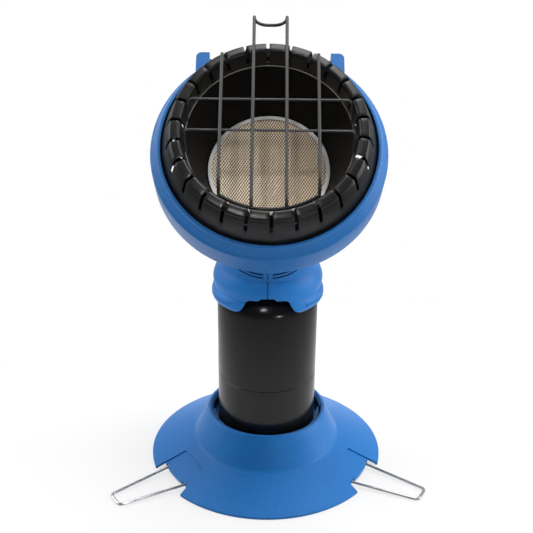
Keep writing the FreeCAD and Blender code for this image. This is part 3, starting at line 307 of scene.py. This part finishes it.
def shell_piece(node, finish, inside):
    """A shell of the head, blue outside and painted near-black as shade where it looks at the
    burner.
    """
    piece = finished_node(node, finish, "head")
    piece.data.materials.append(inside)
    back = HEAD.inverted()
    turn = back.to_3x3()
    for face in piece.data.polygons:
        middle = back @ face.center
        facing = turn @ face.normal
        outward = Vector((middle.x, middle.y, 0)).normalized()
        radius = middle.xy.length
        wall = facing.dot(outward) < -0.3 and middle.z < SHADED_WALL_TOP * MM
        bowl = facing.z > 0.3 and middle.z < SHADED_BOWL_TOP * MM
        ledge = radius < LEDGE_RADIUS * MM and LEDGE_FOOT * MM < middle.z < LEDGE_TOP * MM
        # Inner faces that look at the burner take the painted shade.
        if radius < SHADED_INSIDE_RADIUS * MM and (wall or bowl or ledge):
            face.material_index = 1


def joint_line_and_groove_shade(finish, colour):
    """A dark line at the joint of the halves, and painted shade in the slanted grooves beside it.
    """
    place = finish.place()
    across, back, up = (finish.along(place, axis) for axis in "XYZ")
    aside = across.maths("ABSOLUTE")
    clear = finish.ramp(aside * (1 / MM), (0.35, 0), (0.55, 1))
    off_middle = (aside - GROOVE_MIDDLE * MM).maths("ABSOLUTE")
    beside = finish.ramp(off_middle * (1 / (GROOVE_LENGTH * MM)), (0.48, 0), (0.52, 1))
    rise, run = math.cos(GROOVE_SLANT), math.sin(GROOVE_SLANT)
    for level, half in GROOVES:
        slant = (up - level * MM) * rise - (back + GROOVE_FRONT * MM) * run
        off_groove = (slant - half * MM).maths("ABSOLUTE")
        groove = finish.ramp(off_groove * (1 / (GROOVE_REACH * MM)), (0.3, 0), (0.42, 1))
        clear = clear.maths("MINIMUM", groove.maths("MAXIMUM", beside))
    # The dark blue is the joint's own line and the grooves' painted shade.
    return finish.mix(clear, (0.001, 0.010, 0.040), colour)


finished_node("base_skirt", blue_moulding("base_blue", 0.0), "base")
finished_node("cylinder_socket", blue_moulding("socket_blue", 0.3), "base")
finished_node("leg_clips", blue_moulding("clip_blue", 0.6), "base")
inside_shade = inside_shade_finish()
# The head's shells take the base's blue, darkened as painted shade.
bezel_blue_shaded = blue_moulding("bezel_blue_shaded", 0.9, shade=0.74, haze=0.45)
shell_piece("head_bezel", bezel_blue_shaded, inside_shade)
bowl_blue_shaded = blue_moulding("bowl_blue_shaded", 1.2, shade=0.86, haze=0.6)
shell_piece("rear_shell", bowl_blue_shaded, inside_shade)
collar_blue = blue_moulding("collar_blue", 1.5, joint_line_and_groove_shade)
for node in ("collar_left", "collar_right"):
    finished_node(node, collar_blue, "head")


# Wire legs: three tapered loops of chromed steel wire, 3 mm thick, bent cold. Their turned-in
# ends sit in the clips under the base, so that each leg swings out or folds in.
LEG_WIRE = 1.5
LEG_PIVOT = 98.0
LEG_PIVOT_HEIGHT = 4.0
LEG_END_HALF = 6.0
LEG_ROOT_HALF = 18.3
LEG_TIP = 173.1
LEG_TIP_HALF = 9.6
LEG_BENDS = (3.5, 4.6, 4.6, 3.5)
LEG_AZIMUTHS = {"rear": 92.6, "left": 212.6, "right": 332.6}


def rounded(points, radii, step_angle=9):
    """The points of a line with an arc of the given radius at each inner corner."""
    line = [points[0]]
    for before, corner, after, radius in zip(points, points[1:], points[2:], radii):
        into = (corner - before).normalized()
        out_of = (after - corner).normalized()
        turn = into.angle(out_of)
        centre = corner + (out_of - into).normalized() * (radius / math.cos(turn / 2))
        spoke = corner - into * (radius * math.tan(turn / 2)) - centre
        axis = into.cross(out_of)
        steps = max(3, round(math.degrees(turn) / step_angle))
        for step in range(steps + 1):
            line.append(centre + Matrix.Rotation(turn * step / steps, 3, axis) @ spoke)
    line.append(points[-1])
    return line


def wire_form(path, radius):
    """A round wire along a line of points, as a bmesh with closed ends."""
    curve = bpy.data.curves.new("wire", "CURVE")
    curve.dimensions = "3D"
    curve.bevel_depth = radius
    curve.bevel_resolution = 4  # twenty sides
    curve.use_fill_caps = True
    spline = curve.splines.new("POLY")
    spline.points.add(len(path) - 1)
    for point, spot in zip(spline.points, path):
        point.co = (*spot, 1)
    holder = bpy.data.objects.new("wire", curve)
    form = bmesh.new()
    form.from_mesh(holder.to_mesh())
    holder.to_mesh_clear()
    bpy.data.objects.remove(holder)
    bpy.data.curves.remove(curve)
    smooth_under(form, 50)
    return form


def chromed_wire():
    finish = Finish("chromed_wire")
    scratch = finish.noise(420, 3, 0.6)
    cloud = finish.ramp(finish.noise(28, 3, 0.6), (0.38, 0), (0.60, 1))
    colour = finish.mix(cloud, (0.38, 0.39, 0.40), (0.50, 0.51, 0.53))
    return finish.surface(Base_Color=colour, Metallic=1.0, Roughness=0.16 + scratch * 0.06,
                          Normal=finish.bump(scratch, 0.00002, 0.3))


chrome = chromed_wire()
half = [(LEG_PIVOT, LEG_END_HALF, LEG_PIVOT_HEIGHT), (LEG_PIVOT, LEG_ROOT_HALF, LEG_PIVOT_HEIGHT),
        (LEG_TIP, LEG_TIP_HALF, LEG_WIRE)]
loop = half + [(out, -across, up) for out, across, up in reversed(half)]
for leg_name, azimuth in LEG_AZIMUTHS.items():
    turn_leg = Matrix.Rotation(math.radians(azimuth), 3, "Z")
    corners = [turn_leg @ Vector(corner) * MM for corner in loop]
    form = wire_form(rounded(corners, [bend * MM for bend in LEG_BENDS]), LEG_WIRE * MM)
    add_piece(f"leg_{leg_name}_wire", form, chrome, f"{leg_name}_leg", f"leg_{leg_name}")


# Gas bottle: drawn steel, sprayed semi-gloss black, with a weld seam a little below its middle
# and a domed shoulder under the collar. It stands on its foot ring in the base's socket.
BOTTLE_RADIUS = 49.2
BOTTLE_SEAM = 97.2
SEAM_DEPTH = 0.4
SEAM_REACH = 0.9


def spun_form(profile, steps):
    """A round piece from its outline, spun about the bottle's axis."""
    form = bmesh.new()
    verts = [form.verts.new((radius * MM, 0, height * MM)) for radius, height in profile]
    edges = [form.edges.new(pair) for pair in zip(verts, verts[1:])]
    bmesh.ops.spin(form, geom=verts + edges, cent=(0, 0, 0), axis=(0, 0, 1), angle=2 * math.pi,
                   steps=steps, use_merge=True)
    bmesh.ops.remove_doubles(form, verts=form.verts, dist=0.002 * MM)
    bmesh.ops.recalc_face_normals(form, faces=form.faces)
    return form


def arc(centre, radius, start, stop, steps):
    """Points of an arc in an outline's plane, from one angle to another in degrees."""
    angles = [math.radians(start + (stop - start) * step / steps) for step in range(steps + 1)]
    return [(centre[0] + radius * math.cos(angle), centre[1] + radius * math.sin(angle))
            for angle in angles]


def bottle_paint():
    finish = Finish("bottle_paint")
    peel = finish.noise(260, 2, 0.5)
    cloud = finish.noise(14, 4, 0.6)
    smear = finish.ramp(finish.noise(45, 4, 0.65), (0.45, 0), (0.75, 1))
    paint = finish.mix(cloud, (0.005, 0.005, 0.0051), (0.009, 0.009, 0.0088))
    # The seam's groove is painted black as its shade.
    off_seam = (finish.along(finish.place(), "Z") - BOTTLE_SEAM * MM).maths("ABSOLUTE")
    seam = finish.ramp(off_seam * (1 / (SEAM_REACH * MM)), (0.35, 0), (0.6, 1))
    return finish.surface(Base_Color=finish.mix(seam, (0.0, 0.0, 0.0), paint),
                          Roughness=0.16 + smear * 0.12 + peel * 0.05,
                          Specular_IOR_Level=0.30, Normal=finish.bump(peel, 0.00005, 0.35))


# (radius, height) from the middle of its bottom up to the boss, with the seam as a fine groove
groove_floor = BOTTLE_RADIUS - SEAM_DEPTH
bottle_line = [(0, 18.0), (40.0, 17.6)] + arc((41.2, 25.6), 8.0, -90, 0, 8)
bottle_line += [(BOTTLE_RADIUS, 60), (BOTTLE_RADIUS, BOTTLE_SEAM - 0.5),
                (groove_floor, BOTTLE_SEAM - 0.2), (groove_floor, BOTTLE_SEAM + 0.2),
                (BOTTLE_RADIUS, BOTTLE_SEAM + 0.5), (BOTTLE_RADIUS, 140)]
bottle_line += arc((34.9, 174.85), 14.3, 0, 30, 10) + arc((22.0, 167.4), 29.2, 34, 88, 14)
bottle_line += [(15.2, 199.0), (8.2, 199.0)]
form = spun_form([(min(radius, BOTTLE_RADIUS), height) for radius, height in bottle_line], 128)
smooth_under(form, 40)
semi_gloss = bottle_paint()
add_piece("bottle", form, semi_gloss, "cylinder", "cylinder_shell")
finished_node("cylinder_foot", semi_gloss, "cylinder")


# Reflector: the rolled rim with its 26 slots and the conical dish behind it, pressed from sheet
# steel and coated in satin black heat-proof enamel, with a fine bead round the dish's mouth,
# painted pale grey as its highlight. All are drawn about the beam's axis and then tilted with
# the head.
SLOTS = 26
SLOT_ANGLE = 2.0
SLOT_TURN = 1.5
RIM_SHEET = 1.0
RIM_EDGE = 0.22
BEAD_THICKNESS = 0.55


def in_head(form):
    bmesh.ops.transform(form, matrix=HEAD, verts=form.verts)
    return form


def black_enamel(name, dark, light, gloss, shine):
    finish = Finish(name)
    peel = finish.noise(520, 2, 0.55)
    cloud = finish.noise(35, 3, 0.6)
    colour = finish.mix(cloud, dark, light)
    rough = gloss + cloud * 0.10 + peel * 0.08
    return finish.surface(Base_Color=colour, Roughness=rough, Specular_IOR_Level=shine,
                          Normal=finish.bump(peel, 0.00005, 0.4))


def turned_about_beam(profile, angle, steps, start=0.0):
    """The sheet that an outline sweeps about the beam, in degrees from straight up."""
    form = bmesh.new()
    first = Matrix.Rotation(math.radians(90 + start), 3, "Z")
    verts = [form.verts.new(first @ Vector((radius, 0, out)) * MM) for radius, out in profile]
    edges = [form.edges.new(pair) for pair in zip(verts, verts[1:])]
    bmesh.ops.spin(form, geom=verts + edges, cent=(0, 0, 0), axis=(0, 0, 1),
                   angle=math.radians(angle), steps=steps, use_merge=angle == 360)
    return form


def gathered(forms):
    """Several bmeshes as one."""
    whole = bmesh.new()
    for part in forms:
        mesh = bpy.data.meshes.new("part")
        part.to_mesh(mesh)
        part.free()
        whole.from_mesh(mesh)
        bpy.data.meshes.remove(mesh)
    return whole


# (radius, distance out along the beam): the foot of the inner wall, the roll, the skirt outside
wall_foot = [(76.3, -21.5), (77.4, -13.98)]
roll = [(79.0, -3.0)] + arc((81.5, -2.5), 2.4, 168, 84, 5) + arc((86.1, -2.4), 1.4, 80, 4, 4)
roll += [(87.5, -3.5), (88.5, -4.6)]
skirt_foot = [(92.27, -16.9), (97.0, -32.0), (98.6, -37.5), (103.1, -37.5)]
finger = 360 / SLOTS - SLOT_ANGLE
sectors = []
for slot in range(SLOTS):
    middle = slot * 360 / SLOTS + SLOT_TURN
    fingers = turned_about_beam(wall_foot + roll + skirt_foot, finger, 6, middle + SLOT_ANGLE / 2)
    sectors.append(fingers)
    sectors.append(turned_about_beam(wall_foot, SLOT_ANGLE, 2, middle - SLOT_ANGLE / 2))
    sectors.append(turned_about_beam(skirt_foot, SLOT_ANGLE, 2, middle - SLOT_ANGLE / 2))
form = gathered(sectors)
bmesh.ops.remove_doubles(form, verts=form.verts, dist=0.004 * MM)
bmesh.ops.recalc_face_normals(form, faces=form.faces)
bmesh.ops.solidify(form, geom=form.faces, thickness=RIM_SHEET * MM)
cut_edges = [edge for edge in form.edges
             if len(edge.link_faces) == 2 and edge.calc_face_angle() > math.radians(50)]
bmesh.ops.bevel(form, geom=cut_edges, offset=RIM_EDGE * MM, offset_type="OFFSET", affect="EDGES",
                segments=2, profile=0.5, material=-1, clamp_overlap=True)
smooth_under(form, 35)
rim_enamel = black_enamel("rim_enamel", (0.005, 0.005, 0.005), (0.010, 0.010, 0.010), 0.22, 0.26)
add_piece("rolled_rim", in_head(form), rim_enamel, "head", "slotted_rim")

dish_enamel = black_enamel("dish_enamel", (0.0035, 0.003, 0.0027), (0.006, 0.0055, 0.005),
                           0.5, 0.12)
finished_node("reflector_dish", dish_enamel, "head")
form = turned_about_beam(arc((75.9, -18.2), BEAD_THICKNESS, 0, 360, 12), 360, 180)
bmesh.ops.remove_doubles(form, verts=form.verts, dist=0.004 * MM)
bmesh.ops.recalc_face_normals(form, faces=form.faces)
smooth_under(form, 60)
# The bead's pale grey is a painted highlight.
bead_painted_highlight = black_enamel("bead_painted_highlight", (0.20, 0.20, 0.197), (0.30, 0.30, 0.295), 0.3, 0.3)
add_piece("dish_bead", in_head(form), bead_painted_highlight, "head")


# Wire guard: steel wire painted dark grey and welded. Two pairs of uprights, the middle pair
# rising into the hook, stand in front of two cross wires, and a curved foot wire joins them
# below. The bent-in ends rest on the rim's inner wall.
GUARD_WIRE = 1.5
GUARD_CROSS_WIRE = 1.15
GUARD_FRONT = 2.5
GUARD_CROSS_FRONT = GUARD_FRONT - GUARD_WIRE - GUARD_CROSS_WIRE - 0.05
GUARD_SEAT = -17.0
GUARD_SEAT_GAP = 0.15
GUARD_BEND = 4.5
HOOK_HALF = 15.0
HOOK_KNEE = -71.2
HOOK_TOP = 115.7
HOOK_RISE = 1.0
HOOK_DEPTH = 16.0
HOOK_BENDS = (GUARD_BEND, 3.5, 12.2, 12.2, 3.5, GUARD_BEND)
SIDE_HALF = 43.5
SIDE_KNEE = -51.0
SIDE_TOP = 75.0
CROSS_BARS = ((29.1, 72.6), (-2.0, 75.4))
CROSS_END_DROP = 13.0
FOOT_RADIUS = 75.2
FOOT_OUT = -6.0


def guard_paint():
    finish = Finish("guard_paint")
    peel = finish.noise(600, 2, 0.5)
    cloud = finish.noise(60, 3, 0.6)
    colour = finish.mix(cloud, (0.024, 0.024, 0.025), (0.038, 0.038, 0.039))
    return finish.surface(Base_Color=colour, Roughness=0.34 + cloud * 0.1, Metallic=0.15,
                          Normal=finish.bump(peel, 0.00004, 0.4))


def seat_radius(wire):
    """How far out a wire's end rests on the rim's inner wall."""
    (foot_radius, foot_out), (top_radius, top_out) = wall_foot[0], roll[0]
    fall = (top_radius - foot_radius) / (top_out - foot_out)
    return top_radius - (top_out - GUARD_SEAT) * fall - wire - GUARD_SEAT_GAP


def on_circle(radius, known):
    """How far across, or up, a point on a circle lies whose other measure is known."""
    return math.sqrt(radius ** 2 - known ** 2)


def mirrored(side):
    """A line of (across, up, out) points, carried on through its mirror image."""
    return side + [(-across, up, out) for across, up, out in reversed(side)]


def head_wire(points, bends, radius):
    """A wire bent through (across, up, out) points in the head."""
    placed = [HEAD @ (Vector(point) * MM) for point in points]
    return wire_form(rounded(placed, [bend * MM for bend in bends]), radius * MM)


grey = guard_paint()
seat = seat_radius(GUARD_WIRE)
hook_side = [(HOOK_HALF, -on_circle(seat, HOOK_HALF), GUARD_SEAT),
             (HOOK_HALF, HOOK_KNEE, GUARD_FRONT), (HOOK_HALF, HOOK_TOP, GUARD_FRONT),
             (HOOK_HALF, HOOK_TOP + HOOK_RISE, GUARD_FRONT - HOOK_DEPTH)]
form = head_wire(mirrored(hook_side), HOOK_BENDS, GUARD_WIRE)
add_piece("guard_hook", form, grey, "head", "guard_hook_wire")

uprights = []
for across in (SIDE_HALF, -SIDE_HALF):
    line = [(across, -on_circle(seat, SIDE_HALF), GUARD_SEAT),
            (across, SIDE_KNEE, GUARD_FRONT), (across, SIDE_TOP, GUARD_FRONT)]
    uprights.append(head_wire(line, [GUARD_BEND], GUARD_WIRE))
add_piece("guard_sides", gathered(uprights), grey, "head", "guard_side_wires")

bars = []
for up, reach in CROSS_BARS:
    end_up = up - CROSS_END_DROP
    end_across = on_circle(seat_radius(GUARD_CROSS_WIRE), end_up)
    bar_side = [(end_across, end_up, GUARD_SEAT), (reach, up, GUARD_CROSS_FRONT)]
    bars.append(head_wire(mirrored(bar_side), [GUARD_BEND, GUARD_BEND], GUARD_CROSS_WIRE))
add_piece("guard_bars", gathered(bars), grey, "head", "guard_cross_wires")

foot_turn = math.degrees(math.asin(SIDE_HALF / FOOT_RADIUS))
foot_line = [HEAD @ (Vector((across, up, FOOT_OUT)) * MM)
             for across, up in arc((0, 0), FOOT_RADIUS, -90 - foot_turn, -90 + foot_turn, 32)]
# The foot wire is the guard's grey wire; its near-black is painted shade, as it lies low in the
# dish.
foot_wire_painted_shade = black_enamel("foot_wire_painted_shade", (0.002, 0.002, 0.002), (0.004, 0.004, 0.004), 0.3, 0.25)
form = wire_form(foot_line, GUARD_WIRE * MM)
add_piece("guard_foot", form, foot_wire_painted_shade, "head")


# Burner: a bare steel ring that holds a woven heat-proof wire screen over the ceramic tile. The
# screen is tan from its oxide and browner towards the right; its weave is drawn in the material.
WEAVE_PITCH = 2.6
WEAVE_SLOPE = 0.62
DARKENING_REACH = 150.0


def bare_steel():
    finish = Finish("burner_steel")
    spots = finish.noise(120, 4, 0.6)
    return finish.surface(Base_Color=(0.58, 0.57, 0.56), Metallic=0.6,
                          Roughness=0.36 + spots * 0.2, Normal=finish.bump(spots, 0.00004, 0.4))


def woven_screen():
    finish = Finish("woven_screen")
    flat = finish.node("Mapping", {}, {"Vector": finish.place(),
                                       "Rotation": (math.radians(-45), 0, 0)})
    across, along = finish.along(flat, "X"), finish.along(flat, "Y")
    turns = 2 * math.pi / (WEAVE_PITCH * MM)
    slash = ((across - along * WEAVE_SLOPE) * turns).maths("SINE")
    back = ((across + along * WEAVE_SLOPE) * turns).maths("SINE")
    height = slash * 0.30 + back * 0.20 + 0.5
    # Random patches, and darker and browner towards the right.
    right_darkening = finish.noise(30, 3, 0.6) * 0.5 + (across * (1 / (DARKENING_REACH * MM)) + 0.3)
    wires = finish.mix(right_darkening, (1.0, 0.87, 0.68), (0.72, 0.57, 0.41))
    woven = finish.ramp(height, (0.30, 0), (0.60, 1))
    return finish.surface(Base_Color=finish.mix(woven, (0.075, 0.048, 0.028), wires),
                          Roughness=0.6, Metallic=0.2, Normal=finish.bump(height, 0.0004, 0.8))


steel = bare_steel()
finished_node("burner_ring", steel, "head")
finished_node("burner_screen", woven_screen(), "head")


# Gas parts inside the neck and the bowl: the bottle's valves, the regulator with its nut and
# seal, the jet, the mixer tube and the burner's tile, gasket and pan, with the collar's screws.
# Turned brass, plated tube, die-cast metal, ceramic, felt and rubber, screwed or pressed together.
def plain_finish(name, colour, roughness, metallic=1.0):
    finish = Finish(name)
    marks = finish.noise(300, 3, 0.6)
    rough = roughness + marks * 0.12
    return finish.surface(Base_Color=colour, Metallic=metallic, Roughness=rough,
                          Normal=finish.bump(marks, 0.00003, 0.4))


brass = plain_finish("turned_brass", (0.68, 0.48, 0.20), 0.24)
die_cast = plain_finish("die_cast", (0.46, 0.46, 0.47), 0.42)
plated = plain_finish("plated_tube", (0.52, 0.52, 0.53), 0.3)
zinc = plain_finish("zinc_screw", (0.58, 0.58, 0.59), 0.32)
ceramic = plain_finish("burner_ceramic", (0.68, 0.58, 0.44), 0.75, 0.0)
felt = plain_finish("fibre_gasket", (0.70, 0.68, 0.62), 0.85, 0.0)
rubber = plain_finish("seal_rubber", (0.02, 0.02, 0.02), 0.6, 0.0)
for node in ("cylinder_valve", "valve_core", "relief_valve"):
    finished_node(node, brass, "cylinder")
for node, finish in (("inlet_nut", brass), ("jet", brass), ("mixer_tube", plated),
                     ("regulator_body", die_cast), ("collar_screws", zinc),
                     ("burner_tile", ceramic), ("tile_gasket", felt), ("inlet_seal", rubber),
                     ("burner_pan", steel)):
    finished_node(node, finish, "head")


# Control knob: a fluted knob of black plastic at the back of the neck, pushed onto the
# regulator's brass stem, with which it turns.
def knob_plastic():
    finish = Finish("knob_plastic")
    grain = finish.noise(1500, 2, 0.6)
    return finish.surface(Base_Color=(0.014, 0.014, 0.015), Roughness=0.42 + grain * 0.15,
                          Normal=finish.bump(grain, 0.00005, 0.5))


finished_node("control_knob", knob_plastic(), "knob")
finished_node("valve_stem", brass, "knob")


# Carrying bail: a loop of chromed steel wire, 3.2 mm thick, that hangs behind the head. Its
# turned-out ends sit in the head's two lugs, so that it swings up for carrying.
BAIL_WIRE = 1.6
BAIL_PIVOT = Vector((0, 110.5, -62.0))
BAIL_REACH = 62.0
BAIL_DROP = math.radians(218.8)
BAIL_END_HALF = 70.0
BAIL_HALF = 52.0
BAIL_BENDS = (4.5, 9.0, 9.0, 4.5)

bail_low = BAIL_PIVOT + Vector((0, math.sin(BAIL_DROP), math.cos(BAIL_DROP))) * BAIL_REACH
bail_side = [(-BAIL_END_HALF, *BAIL_PIVOT.yz), (-BAIL_HALF, *BAIL_PIVOT.yz),
             (-BAIL_HALF, *bail_low.yz)]
form = head_wire(mirrored(bail_side), BAIL_BENDS, BAIL_WIRE)
add_piece("bail", form, chrome, "bail", "carry_bail")
